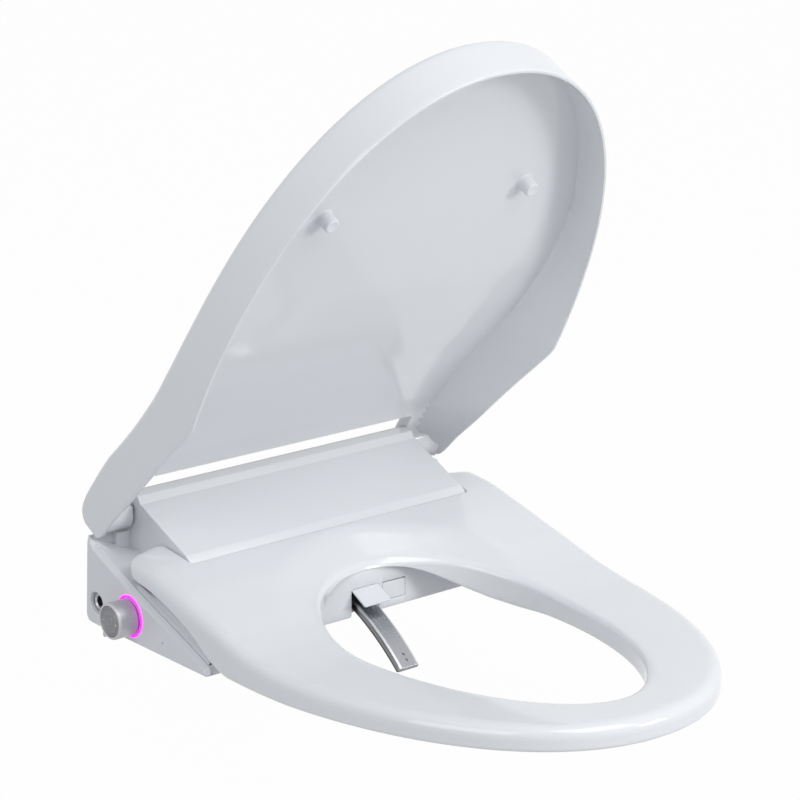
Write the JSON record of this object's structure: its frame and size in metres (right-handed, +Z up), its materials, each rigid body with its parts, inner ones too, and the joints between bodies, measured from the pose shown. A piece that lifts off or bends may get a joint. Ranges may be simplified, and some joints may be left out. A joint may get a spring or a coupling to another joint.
{
  "type": "electric bidet seat",
  "caption": "Electric bidet seat with a hinged lid, a heated seat ring, a curved steel wash nozzle, a dryer flap and a side control knob in a lit ring.",
  "frame": {"origin": "on the flat face that rests on the bowl, in the middle of the width and under the lid's hinge line", "axes": "+X to the right seen from the front, +Y to the back, +Z up; the nose of the seat points along -Y"},
  "size_m": [0.4057, 0.4992, 0.5387],
  "materials": {
    "white_gloss": "gloss",
    "white_satin": "satin",
    "soft_white": "matte",
    "grey_plastic": "matte",
    "dark_plastic": "matte",
    "steel": "brushed",
    "knob_metal": "satin",
    "brass": "machined",
    "board": "satin",
    "heater_foil": "satin",
    "light": "lit"
  },
  "bodies": {
    "base": {"mounting_plate": "grey_plastic", "base_tray": "white_satin", "upper_case": "white_gloss", "front_wall": "white_satin", "centre_cover": "white_gloss", "side_panel_left": "white_satin", "side_panel_right": "white_satin", "lid_pin_left": "steel", "lid_pin_right": "steel", "seat_pin_left": "steel", "seat_pin_right": "steel", "lid_damper": "dark_plastic", "seat_damper": "dark_plastic", "nozzle_guide": "white_satin", "nozzle_motor": "steel", "encoder_body": "dark_plastic", "light_ring": "light", "water_inlet": "brass", "cable_gland": "dark_plastic", "water_valve": "white_satin", "heater_tank": "grey_plastic", "water_pump": "dark_plastic", "power_module": "dark_plastic", "control_board": "board", "dryer_duct": "grey_plastic", "fan_case": "grey_plastic"},
    "seat": {"seat_top_shell": "white_gloss", "seat_bottom_shell": "white_satin", "seat_heater": "heater_foil", "seat_bumper_front_left": "soft_white", "seat_bumper_rear_left": "soft_white", "seat_bumper_front_right": "soft_white", "seat_bumper_rear_right": "soft_white"},
    "lid": {"lid_shell": "white_gloss", "lid_liner": "white_gloss", "lid_bumper_left": "soft_white", "lid_bumper_right": "soft_white"},
    "nozzle": {"nozzle_sleeve": "steel", "nozzle_core": "dark_plastic"},
    "drive": {"drive_gear": "grey_plastic"},
    "nozzle_door": {"nozzle_flap": "white_satin"},
    "dryer_door": {"dryer_flap": "white_satin"},
    "knob_stem": {"knob_shaft": "steel"},
    "knob": {"knob_body": "knob_metal", "knob_cap": "knob_metal"},
    "fan": {"fan_wheel": "dark_plastic"}
  },
  "joints": [
    {"name": "lid_hinge", "type": "hinge", "parent": "base", "child": "lid", "pos_m": [0, 0, 0.0943], "axis": [-1, 0, 0], "range_deg": [-62.1, 43]},
    {"name": "seat_hinge", "type": "hinge", "parent": "base", "child": "seat", "pos_m": [0, -0.06, 0.06335], "axis": [-1, 0, 0], "range_deg": [0, 60]},
    {"name": "nozzle_swing", "type": "hinge", "parent": "base", "child": "nozzle", "pos_m": [0, -0.028, -0.19], "axis": [1, 0, 0], "range_deg": [-18.5, 0]},
    {"name": "drive_gear_spin", "type": "hinge", "parent": "base", "child": "drive", "pos_m": [0.0013, -0.08525, 0.00965], "axis": [1, 0, 0], "range_deg": [-790, 0]},
    {"name": "nozzle_flap_hinge", "type": "hinge", "parent": "base", "child": "nozzle_door", "pos_m": [0.0013, -0.1207, 0.0232], "axis": [-1, 0, 0], "range_deg": [-28, 20]},
    {"name": "dryer_flap_hinge", "type": "hinge", "parent": "base", "child": "dryer_door", "pos_m": [0.032, -0.1207, 0.0222], "axis": [-1, 0, 0], "range_deg": [0, 60]},
    {"name": "knob_press", "type": "slide", "parent": "base", "child": "knob_stem", "axis": [1, 0, 0], "range_m": [0, 0.0015], "stiffness_N_per_m": 400, "springref_m": -0.004},
    {"name": "knob_turn", "type": "hinge", "parent": "knob_stem", "child": "knob", "pos_m": [-0.2, -0.0515, 0.0228], "axis": [1, 0, 0], "range_deg": [-140, 140]},
    {"name": "fan_spin", "type": "hinge", "parent": "base", "child": "fan", "pos_m": [0.094, -0.09, 0.01], "axis": [0, 0, 1], "continuous": true}
  ],
  "couplings": [
    {"joint": "drive_gear_spin", "follows": "nozzle_swing", "ratio": 42.6}
  ]
}
